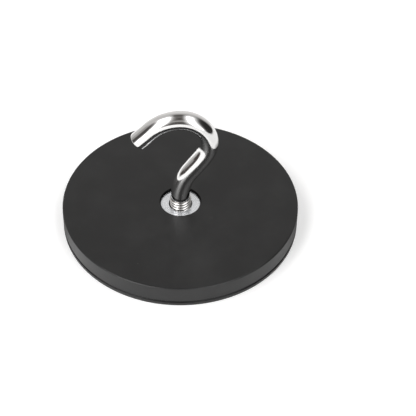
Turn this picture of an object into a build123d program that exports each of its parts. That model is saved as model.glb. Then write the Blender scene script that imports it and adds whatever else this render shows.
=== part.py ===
from build123d import *
import os
from math import acos, atan2, degrees, hypot

# Rubber-coated pot magnet with an open hook screwed into its centre.
# Lengths are in millimetres and angles in degrees. +Z is up. The origin is on
# the magnet's axis, in the plane of its holding face. The hook is bent in the
# XZ plane, with its mouth towards -X.

# Rubber jacket: one overmoulding round everything but the hook
disc_diameter = 88.0
holding_skin = 0.8            # rubber between the magnets and the holding face
side_wall = 2.0               # rubber outside the rim of the base plate
top_cover = 1.0               # rubber above the face of the bush
recess_diameter = 14.8        # opening in the top rubber that shows the bush
top_edge_radius = 0.5
foot_edge_radius = 0.3
recess_edge_radius = 0.4
foot_lip_height = 1.4         # from the holding face up to the moulding groove
groove_height = 1.0
groove_depth = 0.4

# Base plate: the steel disc that joins the magnets' back poles
plate_thickness = 3.0

# Bush: a turned steel insert with a blind threaded bore
bush_flange_diameter = 18.0
bush_flange_thickness = 1.0
bush_body_diameter = 12.0
bush_floor = 1.0              # steel left below the bore
bore_countersink = 0.35
thread_diameter = 8.0
thread_play = 0.05            # between the rod's thread and the bore, per side

# Magnets: nickel-plated discs in two rings, seated on the base plate
magnet_diameter = 12.0
magnet_thickness = 3.0
magnet_edge_chamfer = 0.2
magnet_rim_margin = 3.0       # plate left outside the outer ring
ring_gap = 4.5                # between the outer ring and the inner one
inner_ring_count = 6
outer_ring_count = 12

# Hook: one bent rod with a rolled thread
rod_diameter = 7.0
thread_exposed = 3.8          # thread left above the face of the bush
thread_run_out = 0.3          # cone from the thread down to the plain rod
thread_lead_in = 0.7          # chamfer at the screwed-in end
shank_plain = 0.1             # straight rod between the run-out and the neck
neck_bend_radius = 24.0
neck_straight = 9.0
crown_radius = 10.5
crown_turn = 130.0
easing_radius = 15.0
easing_turn = 40.5
tip_straight = 7.2
tip_chamfer = 0.45

# Heights above the holding face, from the bottom up
magnet_foot = holding_skin
plate_foot = magnet_foot + magnet_thickness
flange_foot = plate_foot + plate_thickness
bush_face = flange_foot + bush_flange_thickness
disc_height = bush_face + top_cover
bush_foot = magnet_foot
bore_floor = bush_foot + bush_floor
thread_top = bush_face + thread_exposed
rod_foot = thread_top + thread_run_out
neck_foot = rod_foot + shank_plain

# Sizes across
disc_radius = disc_diameter / 2
plate_radius = disc_radius - side_wall
outer_ring_radius = plate_radius - magnet_rim_margin - magnet_diameter / 2
inner_ring_radius = outer_ring_radius - magnet_diameter - ring_gap
bore_radius = thread_diameter / 2 + thread_play
rod_radius = rod_diameter / 2

# The neck leans so far that the crown's centre lies on the axis of the shank,
# which puts a hanging load in line with the thread.
radii_sum = neck_bend_radius + crown_radius
neck_lean = degrees(
    acos(neck_bend_radius / hypot(radii_sum, neck_straight))
    - atan2(neck_straight, radii_sum)
)


def standing_disc(diameter, foot, height):
    """A round disc on the Z axis whose lower face is at the height foot."""
    base = Plane.XY.offset(foot)
    return base * Cylinder(diameter / 2, height, align=(Align.CENTER, Align.CENTER, Align.MIN))


def base_plate():
    """Flat steel disc with a hole that the body of the bush fills."""
    plate = standing_disc(2 * plate_radius, plate_foot, plate_thickness)
    return plate - standing_disc(bush_body_diameter, plate_foot, plate_thickness)


def bush_blank():
    """The bush before it is bored: a flange on the plate, a body through it."""
    flange = standing_disc(bush_flange_diameter, flange_foot, bush_flange_thickness)
    body = standing_disc(bush_body_diameter, bush_foot, flange_foot - bush_foot)
    return flange + body


def threaded_bush():
    """The bush with its blind bore, which is countersunk at the mouth."""
    bore = standing_disc(2 * bore_radius, bore_floor, bush_face - bore_floor)
    bush = bush_blank() - bore
    mouth = bush.edges().filter_by(GeomType.CIRCLE).group_by(Axis.Z)[-1].sort_by(SortBy.RADIUS)[0]
    return chamfer(mouth, bore_countersink)


def magnet_rings():
    """The discs of the inner ring, then those of the outer ring."""
    disc = standing_disc(magnet_diameter, magnet_foot, magnet_thickness)
    disc = chamfer(disc.edges().filter_by(GeomType.CIRCLE), magnet_edge_chamfer)
    places = [
        *PolarLocations(inner_ring_radius, inner_ring_count),
        *PolarLocations(outer_ring_radius, outer_ring_count),
    ]
    return [place * disc for place in places]


def moulding_groove():
    """Ring cut into the side wall just above the holding face."""
    outside = standing_disc(disc_diameter, foot_lip_height, groove_height)
    inside = standing_disc(disc_diameter - 2 * groove_depth, foot_lip_height, groove_height)
    return outside - inside


def rubber_jacket(inserts):
    """Moulded disc with a cavity of the exact shape of the inserts."""
    jacket = standing_disc(disc_diameter, 0, disc_height)
    rims = jacket.edges().filter_by(GeomType.CIRCLE).sort_by(Axis.Z)
    jacket = fillet(rims[0], foot_edge_radius)
    rims = jacket.edges().filter_by(GeomType.CIRCLE).sort_by(Axis.Z)
    jacket = fillet(rims[-1], top_edge_radius)
    jacket -= moulding_groove()
    jacket -= standing_disc(recess_diameter, bush_face, top_cover)
    top_rims = jacket.edges().filter_by(GeomType.CIRCLE).group_by(Axis.Z)[-1]
    jacket = fillet(top_rims.sort_by(SortBy.RADIUS)[0], recess_edge_radius)
    for insert in inserts:
        jacket -= insert
    return jacket


def hook_route():
    """Centre line of the rod, from the top of its thread to its tip."""
    with BuildLine(Plane.XZ) as route:
        shank = Line((0, rod_foot), (0, neck_foot))
        bend = JernArc(shank @ 1, shank % 1, neck_bend_radius, -neck_lean)
        neck = PolarLine(bend @ 1, neck_straight, direction=bend % 1)
        crown = JernArc(neck @ 1, neck % 1, crown_radius, crown_turn)
        easing = JernArc(crown @ 1, crown % 1, easing_radius, easing_turn)
        PolarLine(easing @ 1, tip_straight, direction=easing % 1)
    return route.line


def hook():
    """Bent rod with a square-cut tip, and its thread as a plain cylinder."""
    route = hook_route()
    rod = sweep(Plane(route @ 0, z_dir=route % 0) * Circle(rod_radius), route)
    tip_rim = rod.edges().filter_by(GeomType.CIRCLE).sort_by_distance(route @ 1)[0]
    rod = chamfer(tip_rim, tip_chamfer)
    screw = standing_disc(thread_diameter, bore_floor, thread_top - bore_floor)
    screw = chamfer(screw.edges().sort_by(Axis.Z)[0], thread_lead_in)
    run_out = loft([
        Plane.XY.offset(thread_top) * Circle(thread_diameter / 2),
        Plane.XY.offset(rod_foot) * Circle(rod_radius),
    ])
    return screw + run_out + rod


def write_node(name, shape):
    """Write one piece to the file that carries its name."""
    export_step(shape, os.path.join("parts", name + ".step"))


os.makedirs("parts", exist_ok=True)
plate = base_plate()
magnets = magnet_rings()
write_node("rubber_jacket", rubber_jacket([plate, bush_blank(), *magnets]))
write_node("base_plate", plate)
write_node("threaded_bush", threaded_bush())
for number, magnet in enumerate(magnets, start=1):
    write_node(f"magnet_{number:02d}", magnet)
write_node("hook", hook())
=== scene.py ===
"""Finishes and fine forms of a rubber-coated pot magnet with an open hook.

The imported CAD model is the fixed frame. Lengths are in metres, +Z is up, and the origin
lies on the disc's axis in the plane of its holding face. The hook is bent in the XZ
plane, with its mouth towards -X.
"""

import logging
import math
from dataclasses import dataclass, field
from enum import Enum
from typing import Any, Callable, Sequence

import bmesh
import bpy
from mathutils import Matrix, Vector


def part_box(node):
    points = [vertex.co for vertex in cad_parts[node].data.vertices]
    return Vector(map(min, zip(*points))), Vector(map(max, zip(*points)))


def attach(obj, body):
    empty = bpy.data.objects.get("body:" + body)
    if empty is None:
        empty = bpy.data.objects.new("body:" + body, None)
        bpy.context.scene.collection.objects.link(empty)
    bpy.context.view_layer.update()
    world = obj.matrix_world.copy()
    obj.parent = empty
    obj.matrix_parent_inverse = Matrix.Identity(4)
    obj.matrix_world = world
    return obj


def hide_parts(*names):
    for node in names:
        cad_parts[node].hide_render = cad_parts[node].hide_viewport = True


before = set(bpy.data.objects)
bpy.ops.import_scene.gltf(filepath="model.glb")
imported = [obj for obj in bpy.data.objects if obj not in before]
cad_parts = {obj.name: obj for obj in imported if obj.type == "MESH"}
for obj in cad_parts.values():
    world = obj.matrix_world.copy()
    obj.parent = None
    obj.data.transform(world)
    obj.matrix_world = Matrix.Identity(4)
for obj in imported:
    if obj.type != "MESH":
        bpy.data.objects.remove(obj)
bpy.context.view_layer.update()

MM = 0.001
MIDDLE = 0.5                  # the mean of a noise
NOISE_ROUGHNESS = 0.55
SPECK_CORE = 0.4              # the share of a speck's radius that is full
SPECK_CUT = 0.02              # how sharply a cell is chosen to hold a speck
NO_RADIUS = 1e-7              # a circle smaller than this is one point
Colour = tuple[float, float, float]
Ring = list[bmesh.types.BMVert]

log = logging.getLogger("pot_magnet")


class Slot(Enum):
    """The record's material slots."""

    RUBBER = "black_rubber"
    PLATE = "plate_steel"
    BUSH = "turned_steel"
    MAGNET = "nickel_plate"
    HOOK = "polished_chrome"


# Shader maths ---------------------------------------------------------------------------


class Term:
    """A number that varies over a surface: a socket that takes part in Python arithmetic."""

    def __init__(self, graph: "Graph", socket: bpy.types.NodeSocket) -> None:
        """Keeps the socket and the graph that its results are added to."""
        self.graph = graph
        self.socket = socket

    def maths(self, operation: str, *values: "Term | float") -> "Term":
        """Adds one Math node.

        Args:
            operation: the node's operation, such as "ADD".
            values: its inputs, in order.

        Returns:
            The node's result.
        """
        node = self.graph.node(
            "ShaderNodeMath", {"operation": operation}, dict(enumerate(values))
        )
        return Term(self.graph, node.outputs[0])

    def __add__(self, other: "Term | float") -> "Term":
        """self + other."""
        return self.maths("ADD", self, other)

    def __radd__(self, other: float) -> "Term":
        """other + self."""
        return self.maths("ADD", other, self)

    def __sub__(self, other: "Term | float") -> "Term":
        """self - other."""
        return self.maths("SUBTRACT", self, other)

    def __rsub__(self, other: float) -> "Term":
        """other - self."""
        return self.maths("SUBTRACT", other, self)

    def __mul__(self, other: "Term | float") -> "Term":
        """self * other."""
        return self.maths("MULTIPLY", self, other)

    def __rmul__(self, other: float) -> "Term":
        """other * self."""
        return self.maths("MULTIPLY", other, self)

    def __pow__(self, other: "Term | float") -> "Term":
        """self ** other."""
        return self.maths("POWER", self, other)

    def __abs__(self) -> "Term":
        """abs(self)."""
        return self.maths("ABSOLUTE", self)

    def sway(self) -> "Term":
        """How far a noise is from its mean."""
        return self - MIDDLE

    def either(self, other: "Term | float") -> "Term":
        """The larger of the two."""
        return self.maths("MAXIMUM", self, other)

    def rise(self, low: float, high: float) -> "Term":
        """A smooth step.

        Args:
            low: where the step starts, at 0.
            high: where it ends, at 1. Below low, the step falls instead.

        Returns:
            0 on one side, 1 on the other, and a soft ramp between them.
        """
        node = self.graph.node(
            "ShaderNodeMapRange",
            {"interpolation_type": "SMOOTHSTEP"},
            {"Value": self, "From Min": low, "From Max": high},
        )
        return Term(self.graph, node.outputs["Result"])


class Graph:
    """Builds the nodes of one material or of the world."""

    def __init__(self, tree: bpy.types.NodeTree) -> None:
        """Empties the tree that the nodes go into."""
        self.tree = tree
        tree.nodes.clear()

    def node(
        self,
        kind: str,
        settings: dict[str, Any] | None = None,
        sockets: dict[str | int, Any] | None = None,
    ) -> bpy.types.Node:
        """Adds a node.

        Args:
            kind: the node's type, such as "ShaderNodeTexNoise".
            settings: its properties, which are set before its sockets.
            sockets: a value or a link for each input, by place, name or identifier.

        Returns:
            The node.
        """
        node = self.tree.nodes.new(kind)
        for name, value in (settings or {}).items():
            setattr(node, name, value)
        for key, value in (sockets or {}).items():
            self.plug(self.entry(node, key), value)
        return node

    def entry(self, node: bpy.types.Node, key: str | int) -> bpy.types.NodeSocket:
        """Finds an input.

        Args:
            node: the node that has it.
            key: its place, its identifier or its name.

        Returns:
            The input.
        """
        if isinstance(key, int):
            return node.inputs[key]
        return next(s for s in node.inputs if key in (s.identifier, s.name))

    def plug(self, entry: bpy.types.NodeSocket, value: Any) -> None:
        """Gives an input its value or its link.

        Args:
            entry: the input.
            value: a Term or a socket to link, a colour, a vector or a number.
        """
        if isinstance(value, Term):
            value = value.socket
        if isinstance(value, bpy.types.NodeSocket):
            self.tree.links.new(value, entry)
        elif entry.type == "RGBA":
            entry.default_value = (*value, 1.0)
        else:
            entry.default_value = value

    def place(self) -> bpy.types.NodeSocket:
        """Where a point of the surface is in the frame, in metres."""
        return self.node("ShaderNodeTexCoord").outputs["Object"]

    def parts(self, vector: bpy.types.NodeSocket) -> tuple[Term, Term, Term]:
        """The X, Y and Z parts of a vector."""
        node = self.node("ShaderNodeSeparateXYZ", sockets={0: vector})
        return Term(self, node.outputs[0]), Term(self, node.outputs[1]), Term(self, node.outputs[2])

    def vector(self, x: Term | float, y: Term | float, z: Term | float) -> bpy.types.NodeSocket:
        """A vector from its three parts."""
        return self.node("ShaderNodeCombineXYZ", sockets={0: x, 1: y, 2: z}).outputs[0]

    def noise(
        self, place: bpy.types.NodeSocket, size: float, detail: float = 2.0
    ) -> Term:
        """Smooth noise from about 0 to 1.

        Args:
            place: the point that it is read at.
            size: how far apart its lumps are, in the units of place.
            detail: how many finer layers it has.

        Returns:
            The noise.
        """
        node = self.node(
            "ShaderNodeTexNoise",
            sockets={"Vector": place, "Scale": 1 / size, "Detail": detail, "Roughness": NOISE_ROUGHNESS},
        )
        return Term(self, node.outputs[0])

    def specks(self, place: bpy.types.NodeSocket, spacing: float, radius: float, share: float) -> Term:
        """Scattered round specks.

        Args:
            place: the point that they are read at.
            spacing: the size of the cells, each of which may hold one speck.
            radius: the radius of a speck.
            share: the share of the cells that hold one.

        Returns:
            1 on a speck and 0 off it, with a soft rim.
        """
        cells = self.node("ShaderNodeTexVoronoi", sockets={"Vector": place, "Scale": 1 / spacing})
        reach = Term(self, cells.outputs["Distance"])
        tint = self.node("ShaderNodeSeparateColor", sockets={0: cells.outputs["Color"]})
        chosen = Term(self, tint.outputs[0]).rise(1 - share, 1 + SPECK_CUT - share)
        return reach.rise(radius / spacing, SPECK_CORE * radius / spacing) * chosen

    def blend(
        self,
        share: Term | float,
        first: Colour | bpy.types.NodeSocket,
        second: Colour | bpy.types.NodeSocket,
    ) -> bpy.types.NodeSocket:
        """Mixes two colours.

        Args:
            share: how much of the second there is, from 0 to 1.
            first: the colour at 0.
            second: the colour at 1.

        Returns:
            The mixed colour.
        """
        node = self.node(
            "ShaderNodeMix",
            {"data_type": "RGBA"},
            {"Factor_Float": share, "A_Color": first, "B_Color": second},
        )
        return next(s for s in node.outputs if s.identifier == "Result_Color")

    def bump(
        self, height: Term, depth: float, below: bpy.types.NodeSocket | None = None
    ) -> bpy.types.NodeSocket:
        """Relief that is too fine to model.

        Args:
            height: the relief, from 0 to 1.
            depth: how deep it is at 1, in metres.
            below: the normal that it is laid over, if there is one.

        Returns:
            The normal.
        """
        sockets: dict[str | int, Any] = {"Height": height, "Distance": depth, "Strength": 1.0}
        if below is not None:
            sockets["Normal"] = below
        return self.node("ShaderNodeBump", sockets=sockets).outputs[0]


# Finishes -------------------------------------------------------------------------------

Look = tuple[bpy.types.NodeSocket, Term, bpy.types.NodeSocket]


@dataclass(frozen=True)
class Finish:
    """A surface finish: a material whose detail is worked out from a point's place."""

    name: str
    slot: Slot
    metallic: float
    roughness: float
    gloss_index: float = 1.5

    def material(self) -> bpy.types.Material:
        """Makes the material.

        Returns:
            The material, with a Principled shader that shade has dressed.
        """
        made = bpy.data.materials.new(self.name)
        made.use_nodes = True
        graph = Graph(made.node_tree)
        surface = graph.node(
            "ShaderNodeBsdfPrincipled",
            sockets={"Metallic": self.metallic, "Roughness": self.roughness, "IOR": self.gloss_index},
        )
        graph.node("ShaderNodeOutputMaterial", sockets={"Surface": surface.outputs[0]})
        colour, roughness, normal = self.shade(graph)
        graph.plug(graph.entry(surface, "Base Color"), colour)
        graph.plug(graph.entry(surface, "Roughness"), roughness)
        graph.plug(graph.entry(surface, "Normal"), normal)
        return made

    def shade(self, graph: Graph) -> Look:
        """Works out what varies over the surface.

        Args:
            graph: the material's nodes.

        Returns:
            Its colour, its roughness and its normal.
        """
        raise NotImplementedError


@dataclass(frozen=True)
class MouldedRubber(Finish):
    """Black moulded rubber: satin, faintly clouded, with a fine grain and a little dust."""

    dark: Colour = (0.0050, 0.0050, 0.0051)
    light: Colour = (0.0130, 0.0130, 0.0130)
    dust: Colour = (0.075, 0.074, 0.072)
    cloud_size: float = 11 * MM
    smear_size: float = 3.2 * MM
    grain_size: float = 0.32 * MM
    grain_depth: float = 0.004 * MM
    ripple_size: float = 6 * MM
    ripple_depth: float = 0.008 * MM
    smear_range: tuple[float, float] = (0.66, 0.80)
    mean_tone: float = 0.18
    cloud_sway: float = 2.2
    grain_sway: float = 0.9
    rough_sway: float = 0.10
    smear_share: float = 0.10
    smear_rough: float = 0.08
    dust_share: float = 0.8
    dust_specks: tuple[float, float, float] = (2.6 * MM, 0.12 * MM, 0.16)
    lint_specks: tuple[float, float, float] = (7.5 * MM, 0.26 * MM, 0.14)

    def shade(self, graph: Graph) -> Look:
        """Clouded black with dust and pale smears; see Finish.shade."""
        place = graph.place()
        cloud = graph.noise(place, self.cloud_size, 3)
        grain = graph.noise(place, self.grain_size, 2)
        smear = graph.noise(place, self.smear_size, 4).rise(*self.smear_range)
        tone = self.mean_tone + cloud.sway() * self.cloud_sway
        tone = tone + grain.sway() * self.grain_sway
        colour = graph.blend(tone, self.dark, self.light)
        dust = graph.specks(place, *self.dust_specks)
        lint = graph.specks(place, *self.lint_specks)
        dusty = dust.either(lint) * self.dust_share + smear * self.smear_share
        colour = graph.blend(dusty, colour, self.dust)
        roughness = self.roughness + cloud.sway() * self.rough_sway
        roughness = roughness + grain.sway() * self.rough_sway + smear * self.smear_rough
        ripple = graph.noise(place, self.ripple_size, 1)
        normal = graph.bump(grain, self.grain_depth, graph.bump(ripple, self.ripple_depth))
        return colour, roughness, normal


@dataclass(frozen=True)
class TurnedSteel(Finish):
    """Steel faced on a lathe and bright-plated, with rings round the disc's axis and painted shade in
    the bore's mouth.
    """

    dark: Colour = (0.84, 0.86, 0.89)
    light: Colour = (0.93, 0.95, 0.98)
    # Painted shade in the bore's mouth.
    bore_shade: Colour = (0.05, 0.05, 0.05)
    mouth: float = 4.5 * MM
    feed: float = 0.22 * MM
    feed_depth: float = 0.0007 * MM
    mouth_blur: float = 0.2 * MM
    swirl: float = 0.02
    feeds_per_band: int = 3
    mottle_size: float = 1.1 * MM
    ring_tone: float = 0.9
    band_tone: float = 0.8
    mottle_tone: float = 0.2
    mottle_rough: float = 0.03
    ring_rough: float = 0.04

    def shade(self, graph: Graph) -> Look:
        """Tool rings round the axis, and painted shade in the bore's mouth; see Finish.shade."""
        place = graph.place()
        x, y, z = graph.parts(place)
        radius = (x * x + y * y) ** 0.5
        across = graph.vector(radius, x * self.swirl, y * self.swirl + z)
        rings = graph.noise(across, self.feed, 2)
        bands = graph.noise(across, self.feeds_per_band * self.feed, 1)
        mottle = graph.noise(place, self.mottle_size, 3)
        tone = MIDDLE + rings.sway() * self.ring_tone + bands.sway() * self.band_tone
        tone = tone + mottle.sway() * self.mottle_tone
        colour = graph.blend(tone, self.dark, self.light)
        # Painted shade: the bore and the rim of its countersink are darkened as if in shadow.
        inside = radius.rise(self.mouth, self.mouth - self.mouth_blur)
        colour = graph.blend(inside, colour, self.bore_shade)
        roughness = self.roughness + mottle.sway() * self.mottle_rough
        roughness = roughness + rings.sway() * self.ring_rough
        return colour, roughness, graph.bump(rings, self.feed_depth)


@dataclass(frozen=True)
class PolishedChrome(Finish):
    """Polished bright plating over drawn rod, with a faint orange peel and fine pits, and painted shade
    in the thread's roots.
    """

    dark: Colour = (0.820, 0.814, 0.808)
    light: Colour = (0.900, 0.896, 0.890)
    crest: Colour = (0.80, 0.785, 0.77)
    # Painted shade in the thread's roots.
    root: Colour = (0.19, 0.18, 0.17)
    root_radius: float = 3.24 * MM
    thread_top: float = 11.5 * MM
    peel_size: float = 2.4 * MM
    peel_depth: float = 0.0045 * MM
    pit_size: float = 0.22 * MM
    pit_depth: float = 0.0006 * MM
    film_size: float = 5 * MM
    film_tone: float = 1.2
    pit_tone: float = 0.4
    film_rough: float = 0.05
    pit_rough: float = 0.06
    thread_rough: float = 0.19
    thread_blur: float = 0.3 * MM
    root_shade_fade: tuple[float, float] = (0.58 * MM, 0.24 * MM)

    def shade(self, graph: Graph) -> Look:
        """Bright metal with soft waves and fine pits, and painted shade in the thread's roots; see
        Finish.shade.
        """
        place = graph.place()
        peel = graph.noise(place, self.peel_size, 2)
        pits = graph.noise(place, self.pit_size, 3)
        film = graph.noise(place, self.film_size, 3)
        tone = MIDDLE + film.sway() * self.film_tone + pits.sway() * self.pit_tone
        colour = graph.blend(tone, self.dark, self.light)
        x, y, z = graph.parts(place)
        rolled = z.rise(self.thread_top, self.thread_top - self.thread_blur)
        # Painted shade: the thread's roots are darkened as if in shadow.
        root = (x * x + y * y) ** 0.5
        far, near = (self.root_radius + reach for reach in self.root_shade_fade)
        root = root.rise(far, near)
        colour = graph.blend(rolled, colour, graph.blend(root, self.crest, self.root))
        roughness = self.roughness + film.sway() * self.film_rough
        roughness = roughness + pits.sway() * self.pit_rough + rolled * self.thread_rough
        normal = graph.bump(pits, self.pit_depth, graph.bump(peel, self.peel_depth))
        return colour, roughness, normal


@dataclass(frozen=True)
class RolledSteel(Finish):
    """Bare rolled sheet: grey, with the mill's direction in it and a film of oil."""

    dark: Colour = (0.26, 0.26, 0.27)
    light: Colour = (0.44, 0.44, 0.45)
    stretch: float = 0.05
    streak_size: float = 0.5 * MM
    streak_depth: float = 0.004 * MM
    film_size: float = 9 * MM
    film_rough: float = 0.2

    def shade(self, graph: Graph) -> Look:
        """Long streaks along X; see Finish.shade."""
        place = graph.place()
        x, y, z = graph.parts(place)
        streaks = graph.noise(graph.vector(x * self.stretch, y, z), self.streak_size, 4)
        film = graph.noise(place, self.film_size, 3)
        colour = graph.blend((streaks + film) * 0.5, self.dark, self.light)
        roughness = self.roughness + film.sway() * self.film_rough
        return colour, roughness, graph.bump(streaks, self.streak_depth)


@dataclass(frozen=True)
class NickelPlate(Finish):
    """Nickel plating over a sintered magnet: bright, with soft edges and fine pores."""

    dark: Colour = (0.52, 0.49, 0.44)
    light: Colour = (0.68, 0.65, 0.60)
    pore_size: float = 0.18 * MM
    pore_depth: float = 0.002 * MM
    pore_rough: float = 0.12
    film_size: float = 4 * MM

    def shade(self, graph: Graph) -> Look:
        """Faintly porous plating; see Finish.shade."""
        place = graph.place()
        pores = graph.noise(place, self.pore_size, 3)
        film = graph.noise(place, self.film_size, 2)
        colour = graph.blend((pores + film) * 0.5, self.dark, self.light)
        roughness = self.roughness + pores.sway() * self.pore_rough
        return colour, roughness, graph.bump(pores, self.pore_depth)


RUBBER = MouldedRubber("moulded_rubber", Slot.RUBBER, metallic=0.0, roughness=0.36)
# Painted shade: a near-black, less glossy rubber on the back of the recess's wall, where the real jacket
# is the same rubber.
PAINTED_RECESS_SHADE = MouldedRubber(
    "recess_wall_painted_shade",
    Slot.RUBBER,
    metallic=0.0,
    roughness=0.6,
    gloss_index=1.15,
    dark=(0.0030, 0.0030, 0.0030),
    light=(0.0060, 0.0060, 0.0060),
)
TURNED = TurnedSteel("turned_bush_steel", Slot.BUSH, metallic=0.76, roughness=0.27)
CHROME = PolishedChrome("polished_hook_chrome", Slot.HOOK, metallic=1.0, roughness=0.085)
ROLLED = RolledSteel("rolled_plate_steel", Slot.PLATE, metallic=1.0, roughness=0.45)
NICKEL = NickelPlate("magnet_nickel", Slot.MAGNET, metallic=1.0, roughness=0.28)


# Mesh making ----------------------------------------------------------------------------


@dataclass(frozen=True)
class Seat:
    """Where a round CAD node stands: its axis, radius, foot and top."""

    x: float
    y: float
    radius: float
    foot: float
    top: float

    @classmethod
    def of(cls, node: str) -> "Seat":
        """Reads a node's place from the frame.

        Args:
            node: the CAD node's name.

        Returns:
            Its seat.
        """
        low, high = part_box(node)
        middle = (low + high) / 2
        return cls(middle.x, middle.y, (high.x - low.x) / 2, low.z, high.z)


@dataclass(frozen=True)
class Corner:
    """A corner of an outline, as a radius and a height, that an arc may round."""

    radius: float
    height: float
    rounding: float = 0.0


def rounded(corners: Sequence[Corner], steps: int = 6) -> list[Vector]:
    """Lays out an outline with its rounded corners.

    Args:
        corners: the corners in order. The first and the last are never rounded.
        steps: how many pieces each arc has.

    Returns:
        Points of the outline, as (radius, height).
    """
    points = [Vector((c.radius, c.height)) for c in corners]
    outline = [points[0]]
    for before, point, after, corner in zip(points, points[1:], points[2:], corners[1:]):
        if not corner.rounding:
            outline.append(point)
            continue
        back = (before - point).normalized()
        ahead = (after - point).normalized()
        half = back.angle(ahead) / 2
        centre = point + (back + ahead).normalized() * (corner.rounding / math.sin(half))
        start = (point + back * (corner.rounding / math.tan(half)) - centre).normalized()
        end = (point + ahead * (corner.rounding / math.tan(half)) - centre).normalized()
        for step in range(steps + 1):
            outline.append(centre + start.slerp(end, step / steps) * corner.rounding)
    return [*outline, points[-1]]


class Blank:
    """A closed mesh in the making, built ring by ring about upright axes."""

    def __init__(self, segments: int) -> None:
        """Starts an empty mesh whose rings have this many points."""
        self.mesh = bmesh.new()
        self.segments = segments

    def point(self, x: float, y: float, z: float) -> bmesh.types.BMVert:
        """Adds one point."""
        return self.mesh.verts.new((x, y, z))

    def ring(self, radius: float, height: float, x: float = 0.0, y: float = 0.0) -> Ring:
        """Adds a level circle.

        Args:
            radius: its radius. A circle of no radius is one point.
            height: its height.
            x: where its centre is along X.
            y: where its centre is along Y.

        Returns:
            Its points.
        """
        if radius < NO_RADIUS:
            return [self.point(x, y, height)]
        turns = [2 * math.pi * k / self.segments for k in range(self.segments)]
        return [
            self.point(x + radius * math.cos(t), y + radius * math.sin(t), height) for t in turns
        ]

    def skin(self, first: Ring, second: Ring) -> None:
        """Joins two rings by faces.

        Args:
            first: a ring, or a single point to close to.
            second: the same.
        """
        for k in range(self.segments):
            loop = [first[k % len(first)], first[(k + 1) % self.segments % len(first)]]
            loop += [second[(k + 1) % self.segments % len(second)], second[k % len(second)]]
            self.mesh.faces.new(list(dict.fromkeys(loop)))

    def revolve(self, outline: Sequence[Vector], x: float = 0.0, y: float = 0.0) -> list[Ring]:
        """Turns an outline about an upright axis.

        Args:
            outline: its points, as (radius, height).
            x: where the axis is along X.
            y: where the axis is along Y.

        Returns:
            One ring for each point.
        """
        rings = [self.ring(radius, height, x, y) for radius, height in outline]
        for first, second in zip(rings, rings[1:]):
            self.skin(first, second)
        return rings

    def climb(
        self,
        low: float,
        high: float,
        pitch: float,
        rows: int,
        radius: Callable[[float, float], float],
    ) -> tuple[Ring, Ring]:
        """Adds a round wall whose rows climb with a thread and end level.

        Args:
            low: the height of the wall's foot.
            high: the height of its top.
            pitch: how far a row climbs in a turn.
            rows: how many rows there are in a pitch.
            radius: gives the radius at a height and a share of a turn.

        Returns:
            The level rings at its foot and at its top.
        """
        found: dict[tuple[int, float], bmesh.types.BMVert] = {}

        def corner(row: int, column: int) -> bmesh.types.BMVert:
            """The point at a row and a column, which neighbours share."""
            turn = column / self.segments
            height = min(max(low + pitch * (row / rows + turn), low), high)
            key = (column % self.segments, round(height, 9))
            if key not in found:
                reach = radius(height, turn % 1)
                angle = 2 * math.pi * turn
                found[key] = self.point(reach * math.cos(angle), reach * math.sin(angle), height)
            return found[key]

        for row in range(-rows, math.ceil((high - low) / pitch * rows)):
            for column in range(self.segments):
                loop = [corner(row, column), corner(row, column + 1)]
                loop += [corner(row + 1, column + 1), corner(row + 1, column)]
                loop = list(dict.fromkeys(loop))
                if len(loop) > 2:
                    self.mesh.faces.new(loop)
        foot = [found[k, round(low, 9)] for k in range(self.segments)]
        top = [found[k, round(high, 9)] for k in range(self.segments)]
        return foot, top

    def fill(self, rings: Sequence[Ring]) -> None:
        """Fills the level area inside the first ring and outside the others."""
        edges = [
            self.mesh.edges.get((a, b)) or self.mesh.edges.new((a, b))
            for ring in rings
            for a, b in zip(ring, ring[1:] + ring[:1])
        ]
        bmesh.ops.triangle_fill(self.mesh, use_beauty=True, edges=edges)

    def finished(
        self,
        name: str,
        finish: Finish,
        nodes: Sequence[str],
        shade_finish: Finish | None = None,
        shaded_face: Callable[[Vector], bool] = lambda spot: False,
        crease: float = 0.6,
    ) -> bpy.types.Object:
        """Turns the mesh into a piece that stands for CAD nodes.

        Args:
            name: the piece's name.
            finish: its finish.
            nodes: the CAD nodes that it stands for.
            shade_finish: a second finish that paints shade on some of its faces, if there is one.
            shaded_face: tells from a face's middle whether the face has the painted shade.
            crease: the angle between faces above which their edge is sharp, in radians.

        Returns:
            The piece.
        """
        bmesh.ops.recalc_face_normals(self.mesh, faces=self.mesh.faces)
        for face in self.mesh.faces:
            face.smooth = True
            face.material_index = int(shaded_face(face.calc_center_median()))
        for edge in self.mesh.edges:
            edge.smooth = edge.calc_face_angle(0.0) < crease
        data = bpy.data.meshes.new(name)
        self.mesh.to_mesh(data)
        self.mesh.free()
        for worn in (finish, shade_finish):
            if worn:
                data.materials.append(worn.material())
        piece = bpy.data.objects.new(name, data)
        bpy.context.scene.collection.objects.link(piece)
        shading = piece.modifiers.new("shading", "WEIGHTED_NORMAL")
        shading.keep_sharp = True
        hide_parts(*nodes)
        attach(piece, "root")
        return piece


# Pieces ---------------------------------------------------------------------------------


@dataclass(frozen=True)
class ThreadForm:
    """A coarse right-hand screw thread, rolled with round crests and roots."""

    pitch: float = 1.25 * MM
    crest_radius: float = 4.0 * MM
    root_radius: float = 3.24 * MM
    crest_width: float = 1.15
    start: float = 0.297
    rows: int = 16

    def radius(self, height: float, turn: float) -> float:
        """The thread's radius.

        Args:
            height: the height of the point.
            turn: its direction, as a share of a turn.

        Returns:
            The radius there.
        """
        phase = (height / self.pitch - turn - self.start) % 1.0
        away = (2 * abs(phase - 0.5)) ** self.crest_width
        drop = (1 - math.cos(math.pi * away)) / 2
        return self.crest_radius + (self.root_radius - self.crest_radius) * drop


def eased(value: float, low: float, high: float) -> float:
    """A smooth step from 0 at low to 1 at high."""
    share = min(max((value - low) / (high - low), 0.0), 1.0)
    return share * share * (3 - 2 * share)


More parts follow.
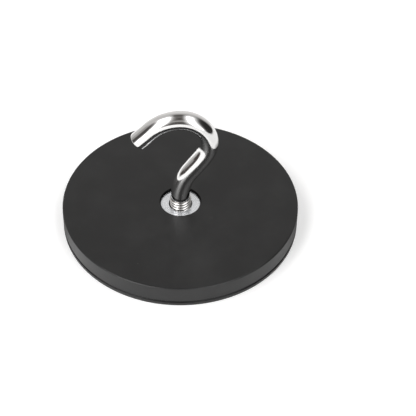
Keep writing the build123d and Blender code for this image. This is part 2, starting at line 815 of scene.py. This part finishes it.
@dataclass(frozen=True)
class Bush:
    """The threaded insert: a flange with a faced top and a body with a blind bore."""

    seat: Seat = field(default_factory=lambda: Seat.of("threaded_bush"))
    body_radius: float = 6 * MM
    flange_thickness: float = 1 * MM
    floor: float = 1 * MM
    bore_radius: float = 4.05 * MM
    thread_play: float = 0.05 * MM
    countersink: float = 0.35 * MM
    edge: float = 0.1 * MM
    relief: float = 0.8 * MM
    ring_feed: float = 0.24 * MM
    ring_depth: float = 0.0022 * MM
    ring_points: int = 4
    edge_steps: int = 3
    segments: int = 144
    thread: ThreadForm = ThreadForm()

    @property
    def flange_foot(self) -> float:
        """The height of the flange's underside."""
        return self.seat.top - self.flange_thickness

    def bore(self, height: float, turn: float) -> float:
        """The radius of the threaded bore.

        Args:
            height: the height of the point.
            turn: its direction, as a share of a turn.

        Returns:
            The radius, with a relief at the bottom and a countersink at the mouth.
        """
        bottom = self.seat.foot + self.floor
        cut = self.thread.radius(height, turn) + self.thread_play
        plain = 1 - eased(height, bottom + self.relief / 2, bottom + self.relief)
        cut += (self.bore_radius - cut) * plain
        mouth = self.bore_radius + self.countersink - (self.seat.top - height)
        return max(cut, mouth)

    def faced_top(self) -> list[Vector]:
        """The flange's top from its rim to the countersink, with the tool's rings."""
        rim = self.seat.radius - self.edge
        mouth = self.bore_radius + self.countersink
        points = self.ring_points
        count = round((rim - mouth) / self.ring_feed) * points
        radii = [rim + (mouth - rim) * k / count for k in range(count + 1)]
        waves = [(1 - math.cos(2 * math.pi * k / points)) / 2 for k in range(count + 1)]
        dips = [wave * self.ring_depth for wave in waves]
        return [Vector((radius, self.seat.top - dip)) for radius, dip in zip(radii, dips)]

    def build(self) -> list[bpy.types.Object]:
        """Makes the bush."""
        blank = Blank(self.segments)
        seat = self.seat
        outside = rounded(
            [
                Corner(0, seat.foot),
                Corner(self.body_radius, seat.foot, self.edge),
                Corner(self.body_radius, self.flange_foot),
                Corner(seat.radius, self.flange_foot, self.edge),
                Corner(seat.radius, seat.top, self.edge),
                Corner(seat.radius - 2 * self.edge, seat.top),
            ],
            self.edge_steps,
        )[:-1]
        rings = blank.revolve([*outside, *self.faced_top()[1:-1]])
        foot, mouth = blank.climb(
            seat.foot + self.floor, seat.top, self.thread.pitch, self.thread.rows, self.bore
        )
        blank.skin(rings[-1], mouth)
        blank.skin(foot, blank.ring(0, seat.foot + self.floor))
        return [blank.finished("threaded_bush_turned", TURNED, ["threaded_bush"])]


@dataclass(frozen=True)
class Jacket:
    """The rubber moulded round the plate, the magnets and the rim of the bush."""

    bush: Bush
    seat: Seat = field(default_factory=lambda: Seat.of("rubber_jacket"))
    plate: Seat = field(default_factory=lambda: Seat.of("base_plate"))
    recess_radius: float = 7.4 * MM
    foot_edge: float = 0.3 * MM
    top_edge: float = 0.5 * MM
    recess_edge: float = 0.4 * MM
    lip_height: float = 1.4 * MM
    groove_height: float = 1.0 * MM
    groove_depth: float = 0.4 * MM
    groove_edge: float = 0.12 * MM
    groove_corner: float = 0.15 * MM
    magnet_chamfer: float = 0.2 * MM
    # How far out and how far forward the painted shade on the recess's wall reaches.
    painted_shade_reach: float = 0.4 * MM
    painted_shade_front: float = -3 * MM
    segments: int = 288
    pocket_segments: int = 48

    def outside(self) -> list[Vector]:
        """The outline from the holding face's centre, over the rim, to the plate's rim."""
        rim = self.seat.radius
        inner = rim - self.groove_depth
        groove_top = self.lip_height + self.groove_height
        bush = self.bush.seat
        return rounded(
            [
                Corner(0, self.seat.foot),
                Corner(rim, self.seat.foot, self.foot_edge),
                Corner(rim, self.lip_height, self.groove_edge),
                Corner(inner, self.lip_height, self.groove_corner),
                Corner(inner, groove_top, self.groove_corner),
                Corner(rim, groove_top, self.groove_edge),
                Corner(rim, self.seat.top, self.top_edge),
                Corner(self.recess_radius, self.seat.top, self.recess_edge),
                Corner(self.recess_radius, bush.top),
                Corner(bush.radius, bush.top),
                Corner(bush.radius, self.plate.top),
                Corner(self.plate.radius, self.plate.top),
                Corner(self.plate.radius, self.plate.foot),
            ]
        )

    def pocket(self, blank: Blank, magnet: Seat) -> Ring:
        """Adds the pocket of one magnet.

        Args:
            blank: the jacket's mesh.
            magnet: where the magnet stands.

        Returns:
            The pocket's rim, in the plane of the plate's underside.
        """
        narrow = magnet.radius - self.magnet_chamfer
        outline = [
            Vector((magnet.radius, magnet.top)),
            Vector((magnet.radius, magnet.foot + self.magnet_chamfer)),
            Vector((narrow, magnet.foot)),
            Vector((0, magnet.foot)),
        ]
        return blank.revolve(outline, magnet.x, magnet.y)[0]

    def in_painted_recess_shade(self, spot: Vector) -> bool:
        """Whether a spot lies on the back of the recess's wall or of its rounded rim, which gets painted
        shade.
        """
        near = spot.xy.length < self.recess_radius + self.painted_shade_reach
        return spot.z > self.bush.seat.top and near and spot.y > self.painted_shade_front

    def build(self) -> list[bpy.types.Object]:
        """Makes the jacket, hollow where the inserts lie."""
        blank = Blank(self.segments)
        shell = blank.revolve(self.outside())
        well = blank.revolve(
            [
                Vector((self.bush.body_radius, self.plate.foot)),
                Vector((self.bush.body_radius, self.bush.seat.foot)),
                Vector((0, self.bush.seat.foot)),
            ]
        )
        blank.segments = self.pocket_segments
        magnets = [Seat.of(name) for name in sorted(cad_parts) if name.startswith("magnet")]
        pockets = [self.pocket(blank, magnet) for magnet in magnets]
        blank.fill([shell[-1], well[0], *pockets])
        return [
            blank.finished(
                "rubber_jacket_moulded", RUBBER, ["rubber_jacket"], PAINTED_RECESS_SHADE, self.in_painted_recess_shade
            )
        ]


@dataclass(frozen=True)
class Run:
    """A stretch of the rod's centre line: straight, or an arc that turns its heading."""

    length: float
    turn: float = 0.0

    @classmethod
    def arc(cls, radius: float, turn: float) -> "Run":
        """An arc of a radius that turns by an angle, towards +X if that is above 0."""
        return cls(radius * abs(turn), turn)

    def walk(self, start: Vector, heading: float, distance: float) -> tuple[Vector, float]:
        """Follows the run.

        Args:
            start: where it starts, as (x, z).
            heading: its heading there, as an angle from +Z towards +X.
            distance: how far to go along it.

        Returns:
            The point reached and the heading there.
        """
        if not self.turn:
            return start + distance * Vector((math.sin(heading), math.cos(heading))), heading
        bend = self.turn / self.length
        ahead = heading + bend * distance
        step = Vector((math.cos(heading) - math.cos(ahead), math.sin(ahead) - math.sin(heading)))
        return start + step / bend, ahead


@dataclass(frozen=True)
class Hook:
    """The open hook: a bent, polished rod with a rolled thread at its foot."""

    seat: Seat = field(default_factory=lambda: Seat.of("hook"))
    rod_radius: float = 3.5 * MM
    thread_length: float = 9.8 * MM
    run_out: float = 0.3 * MM
    fade: float = 0.4 * MM
    plain_end: float = 0.4 * MM
    lead_in: float = 0.7 * MM
    shank_plain: float = 0.84 * MM
    neck_bend_radius: float = 20.85 * MM
    neck_easing_radius: float = 38.3 * MM
    crown_entry: float = math.radians(26.35)
    crown_radius: float = 10.5 * MM
    crown_exit: float = math.radians(-96.93)
    easing_radius: float = 15.0 * MM
    easing_turn: float = math.radians(40.5)
    tip_straight: float = 7.2 * MM
    tip_rounding: float = 0.45 * MM
    station_gap: float = 0.5 * MM
    squeeze: float = 0.11
    squeeze_length: float = 8.0 * MM
    squeeze_lag: float = 7.8 * MM
    swell: float = 0.25 * MM
    swell_start: float = -2.5 * MM
    swell_full: float = 5.0 * MM
    swell_end: float = 16.0 * MM
    spread: float = 0.25
    tip_steps: int = 5
    segments: int = 144
    thread: ThreadForm = ThreadForm()

    @property
    def rod_foot(self) -> float:
        """The height at which the thread has run out into the plain rod."""
        return self.seat.foot + self.thread_length + self.run_out

    def runs(self) -> list[Run]:
        """Lays out the centre line above the thread.

        The crown's centre lies over the shank. The neck's straight part is the common
        tangent of the bend below it and of the easing above it.

        Returns:
            The runs in order, from the top of the thread to the tip.
        """
        height = self.seat.top - self.rod_radius - self.crown_radius
        height -= self.rod_foot + self.shank_plain
        offset = self.neck_easing_radius - self.crown_radius
        across = -offset * math.cos(self.crown_entry) - self.neck_bend_radius
        along = height + offset * math.sin(self.crown_entry)
        apart = math.hypot(across, along)
        radii = self.neck_bend_radius + self.neck_easing_radius
        lean = math.acos(-radii / apart) - math.atan2(along, across)
        return [
            Run(self.shank_plain),
            Run.arc(self.neck_bend_radius, lean),
            Run(math.sqrt(apart * apart - radii * radii)),
            Run.arc(self.neck_easing_radius, self.crown_entry - lean),
            Run.arc(self.crown_radius, self.crown_exit - self.crown_entry),
            Run.arc(self.easing_radius, -self.easing_turn),
            Run(self.tip_straight),
        ]

    def threaded(self, height: float, turn: float) -> float:
        """The radius of the threaded foot.

        Args:
            height: the height of the point.
            turn: its direction, as a share of a turn.

        Returns:
            The radius, with a chamfer at the bottom and a run-out at the top.
        """
        cut = self.thread.radius(height, turn)
        smooth = self.rod_foot - self.plain_end
        plain = eased(height, smooth - self.fade, smooth)
        cut += (self.rod_radius - cut) * plain
        chamfer = self.thread.crest_radius - self.lead_in + (height - self.seat.foot)
        return min(cut, chamfer)

    def section(
        self,
        blank: Blank,
        centre: Vector,
        heading: float,
        across: float,
        wide: float,
        swell: float = 0.0,
    ) -> Ring:
        """Adds one section of the rod.

        Args:
            blank: the hook's mesh.
            centre: the section's centre, as (x, z).
            heading: the rod's heading there, as an angle from +Z towards +X.
            across: half its thickness in the plane of the bend.
            wide: half its width at a right angle to that plane.
            swell: how far the bend has pushed its inner side out.

        Returns:
            The section's points.
        """
        side = Vector((math.cos(heading), -math.sin(heading)))
        ring = []
        for k in range(blank.segments):
            angle = 2 * math.pi * k / blank.segments
            inner = min(math.cos(angle), 0.0)
            spot = centre + side * (across * math.cos(angle) - swell * inner * inner)
            ring.append(blank.point(spot.x, wide * math.sin(angle), spot.y))
        return ring

    def rod(self, blank: Blank, ring: Ring) -> None:
        """Adds the bent rod, from the top of the thread to the rounded tip.

        Args:
            blank: the hook's mesh.
            ring: the level ring at the top of the thread.
        """
        runs = self.runs()
        crown_start = sum(run.length for run in runs[:4])
        narrowest = crown_start + self.squeeze_lag
        start = Vector((0, self.rod_foot))
        heading = 0.0
        travelled = 0.0
        for run in runs:
            last = run is runs[-1]
            length = run.length - (self.tip_rounding if last else 0.0)
            count = max(1, round(length / self.station_gap))
            for k in range(1, count + 1):
                distance = length * k / count
                centre, bearing = run.walk(start, heading, distance)
                off = (travelled + distance - narrowest) / self.squeeze_length
                thin = self.squeeze * math.exp(-off * off)
                across = self.rod_radius * (1 - thin)
                wide = self.rod_radius * (1 + thin * self.spread)
                off = travelled + distance - crown_start
                swell = self.swell * eased(off, self.swell_start, self.swell_full)
                swell *= 1 - eased(off, self.swell_full, self.swell_end)
                following = self.section(blank, centre, bearing, across, wide, swell)
                blank.skin(ring, following)
                ring = following
            travelled += run.length
            start, heading = run.walk(start, heading, length if last else run.length)
        for k in range(1, self.tip_steps + 1):
            angle = math.pi / 2 * k / self.tip_steps
            radius = self.rod_radius - self.tip_rounding * (1 - math.cos(angle))
            centre = Run(1.0).walk(start, heading, self.tip_rounding * math.sin(angle))[0]
            following = self.section(blank, centre, heading, radius, radius)
            blank.skin(ring, following)
            ring = following
        blank.skin(ring, [blank.point(centre.x, 0, centre.y)])

    def build(self) -> list[bpy.types.Object]:
        """Makes the hook in one piece with its thread."""
        blank = Blank(self.segments)
        foot, top = blank.climb(
            self.seat.foot, self.rod_foot, self.thread.pitch, self.thread.rows, self.threaded
        )
        blank.skin(foot, blank.ring(0, self.seat.foot))
        self.rod(blank, top)
        return [blank.finished("hook_threaded", CHROME, ["hook"])]


@dataclass(frozen=True)
class Core:
    """What the rubber hides: the base plate and the two rings of magnets."""

    def build(self) -> list[bpy.types.Object]:
        """Dresses the CAD nodes, whose shapes stay as they are.

        Returns:
            The nodes' objects.
        """
        rolled = ROLLED.material()
        nickel = NICKEL.material()
        pieces = []
        for name, piece in sorted(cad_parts.items()):
            if name == "base_plate" or name.startswith("magnet"):
                piece.data.materials.clear()
                piece.data.materials.append(rolled if name == "base_plate" else nickel)
                pieces.append(piece)
        return pieces


# Studio ---------------------------------------------------------------------------------


@dataclass(frozen=True)
class Patch:
    """A soft-edged part of the room, bounded by the X and Y parts of a direction.

    A bound past -1 or 1 is left open. A sunk patch is only seen below the level.
    """

    left: float
    right: float
    front: float
    back: float
    side_blur: float
    end_blur: float
    light: Colour
    sunk: bool = False
    sunk_blur: float = 0.02

    def mask(self, x: Term, y: Term, z: Term) -> Term:
        """How much of the patch there is.

        Args:
            x: the X part of the direction.
            y: its Y part.
            z: its Z part.

        Returns:
            1 inside the patch and 0 outside it.
        """
        side = self.side_blur / 2
        end = self.end_blur / 2
        mask = y.rise(self.back + end, self.back - end)
        if self.left > -1:
            mask = mask * x.rise(self.left - side, self.left + side)
        if self.right < 1:
            mask = mask * x.rise(self.right + side, self.right - side)
        if self.front > -1:
            mask = mask * y.rise(self.front - end, self.front + end)
        if self.sunk:
            mask = mask * z.rise(0.0, -self.sunk_blur)
        return mask


@dataclass(frozen=True)
class Room:
    """The studio round the object: pale walls, two long soft boxes and dark gaps."""

    wall: Colour = (0.580, 0.570, 0.562)
    horizon: Colour = (0.785, 0.775, 0.765)
    ceiling: Colour = (0.158, 0.149, 0.143)
    white: Colour = (1.0, 1.0, 1.0)
    back_wall: tuple[float, float] = (0.237, 0.616)
    side_wall: tuple[float, float] = (0.139, 0.44)
    far_wall: tuple[float, float] = (0.517, 0.994)
    patches: tuple[Patch, ...] = (
        Patch(0.48, 2, -2, 0.48, 0.90, 0.39, (0.027, 0.026, 0.025)),
        Patch(-2, -0.796, -2, -0.026, 0.19, 0.48, (0.071, 0.067, 0.064)),
        Patch(-2, -0.92, 0.02, 0.28, 0.08, 0.16, (0.36, 0.35, 0.34)),
        Patch(-2, -0.80, -2, 0.16, 0.10, 0.14, (0.066, 0.056, 0.052), sunk=True),
        Patch(-0.30, 0.30, 0.006, 0.245, 0.16, 0.20, (0.094, 0.090, 0.086)),
        Patch(-0.13, 0.07, -0.66, -0.42, 0.20, 0.14, (0.068, 0.064, 0.061)),
        Patch(-0.28, 0.28, -0.90, -0.79, 0.16, 0.10, (0.40, 0.39, 0.38)),
        Patch(-0.22, 0.22, -2, -0.93, 0.16, 0.06, (0.100, 0.094, 0.090)),
        Patch(-0.731, -0.346, -2, 0.098, 0.20, 0.50, (1.35, 1.35, 1.35)),
        Patch(0.211, 0.642, -2, 0.212, 0.31, 0.70, (1.35, 1.35, 1.35)),
        Patch(-0.72, -0.39, -2, -0.03, 0.06, 0.08, (4.8, 4.8, 4.8)),
        Patch(0.285, 0.565, -2, 0.03, 0.06, 0.08, (3.0, 3.0, 3.0)),
    )

    def build(self) -> None:
        """Makes the world: the room for light and reflections, and plain white behind."""
        world = bpy.data.worlds.new("studio")
        world.use_nodes = True
        bpy.context.scene.world = world
        graph = Graph(world.node_tree)
        direction = graph.node("ShaderNodeTexCoord").outputs["Generated"]
        x, y, z = graph.parts(direction)
        pale = y.rise(*self.back_wall).either(abs(x).rise(*self.side_wall))
        light = graph.blend(pale, self.ceiling, self.wall)
        light = graph.blend(y.rise(*self.far_wall), light, self.horizon)
        for patch in self.patches:
            light = graph.blend(patch.mask(x, y, z), light, patch.light)
        seen = graph.node("ShaderNodeLightPath").outputs["Is Camera Ray"]
        shown = graph.blend(Term(graph, seen), light, self.white)
        background = graph.node("ShaderNodeBackground", sockets={"Color": shown, "Strength": 1.0})
        graph.node("ShaderNodeOutputWorld", sockets={"Surface": background.outputs[0]})


@dataclass(frozen=True)
class Table:
    """The plain pale sheet that the magnet lies on, whose far ends reflections see fade."""

    reach: float = 3.0
    paint: Colour = (0.80, 0.80, 0.80)
    shaded: Colour = (0.22, 0.215, 0.21)
    lift: float = 0.34
    right_lift: float = 0.10
    left_end: tuple[float, float] = (-160 * MM, -75 * MM)
    spread_slant: float = 0.575
    level_slant: float = 0.325
    right_end: tuple[float, float] = (500 * MM, 180 * MM)
    front_end: tuple[float, float] = (-450 * MM, -220 * MM)
    lift_change: tuple[float, float] = (90 * MM, -40 * MM)
    shade_rim: tuple[float, float] = (80 * MM, 44 * MM)
    shade_front: tuple[float, float] = (-25 * MM, 5 * MM)
    cells: int = 8

    def build(self) -> None:
        """Makes the table, which shows white and keeps the object's shadow."""
        blank = bmesh.new()
        bmesh.ops.create_grid(blank, x_segments=self.cells, y_segments=self.cells, size=self.reach)
        data = bpy.data.meshes.new("table_top")
        blank.to_mesh(data)
        blank.free()
        table = bpy.data.objects.new("table_top", data)
        bpy.context.scene.collection.objects.link(table)
        data.materials.append(self.paint_coat())

    def paint_coat(self) -> bpy.types.Material:
        """Makes the table's paint.

        Returns:
            A matt white that the camera sees everywhere, and that reflections see as far
            as the sheet's ends.
        """
        paint = bpy.data.materials.new("table_paint")
        paint.use_nodes = True
        graph = Graph(paint.node_tree)
        x, y, _ = graph.parts(graph.place())
        path = graph.node("ShaderNodeLightPath")
        camera = Term(graph, path.outputs["Is Camera Ray"])
        mirrored = Term(graph, path.outputs["Is Glossy Ray"])
        mirrored = mirrored.either(Term(graph, path.outputs["Is Transmission Ray"]))
        aslant = x + abs(y) * self.spread_slant - y * self.level_slant
        sheet = aslant.rise(*self.left_end) * x.rise(*self.right_end) * y.rise(*self.front_end)
        left = x.rise(*self.lift_change)
        shade = ((x * x + y * y) ** 0.5).rise(*self.shade_rim) * y.rise(*self.shade_front)
        shade = shade * mirrored
        glow = self.right_lift + left * (self.lift - self.right_lift)
        glow = camera * self.lift + mirrored * glow * (1 - shade)
        colour = graph.blend(shade, self.paint, self.shaded)
        matt = graph.node("ShaderNodeBsdfDiffuse", sockets={"Color": colour})
        lit = graph.node("ShaderNodeEmission", sockets={"Strength": glow})
        both = graph.node("ShaderNodeAddShader", sockets={0: matt.outputs[0], 1: lit.outputs[0]})
        clear = graph.node("ShaderNodeBsdfTransparent")
        ended = mirrored * (1 - sheet)
        shown = graph.node(
            "ShaderNodeMixShader", sockets={0: ended, 1: both.outputs[0], 2: clear.outputs[0]}
        )
        graph.node("ShaderNodeOutputMaterial", sockets={"Surface": shown.outputs[0]})
        return paint


@dataclass(frozen=True)
class Viewpoint:
    """The camera: a long lens that looks down on the disc from in front."""

    picture_width: float = 416.0
    focal_pixels: float = 1333.0
    sensor_width: float = 36.0
    distance: float = 498.9 * MM
    elevation: float = math.radians(44.42)
    disc_top: float = field(default_factory=lambda: Seat.of("rubber_jacket").top)
    disc_pixel: tuple[float, float] = (180.5, 201.3)
    clip: tuple[float, float] = (0.01, 20.0)

    def build(self) -> None:
        """Places the camera so that the disc's centre lands on its pixel."""
        centre = Vector((0, 0, self.disc_top))
        back = Vector((0, -math.cos(self.elevation), math.sin(self.elevation)))
        eye = centre + back * self.distance
        right = Vector((1, 0, 0))
        up = right.cross(-back)
        middle = self.picture_width / 2
        aside = (middle - self.disc_pixel[0]) / self.focal_pixels
        below = (middle - self.disc_pixel[1]) / self.focal_pixels
        ahead = (-back + right * aside - up * below).normalized()
        right = (right - ahead * right.dot(ahead)).normalized()
        data = bpy.data.cameras.new("camera")
        data.sensor_width = self.sensor_width
        data.lens = self.focal_pixels * self.sensor_width / self.picture_width
        data.clip_start, data.clip_end = self.clip
        camera = bpy.data.objects.new("camera", data)
        bpy.context.scene.collection.objects.link(camera)
        turned = Matrix((right, right.cross(ahead), -ahead)).transposed()
        camera.matrix_world = Matrix.Translation(eye) @ turned.to_4x4()
        bpy.context.scene.camera = camera


def main() -> None:
    """Builds the sub-assemblies in order, then the studio round them."""
    logging.basicConfig(level=logging.INFO, format="%(name)s: %(message)s")
    bpy.context.scene.view_settings.view_transform = "Standard"
    bush = Bush()
    for assembly in (Jacket(bush), bush, Hook(), Core()):
        for piece in assembly.build():
            log.info("%s: %d faces", piece.name, len(piece.data.polygons))
    Room().build()
    Table().build()
    Viewpoint().build()


if __name__ == "__main__":
    main()
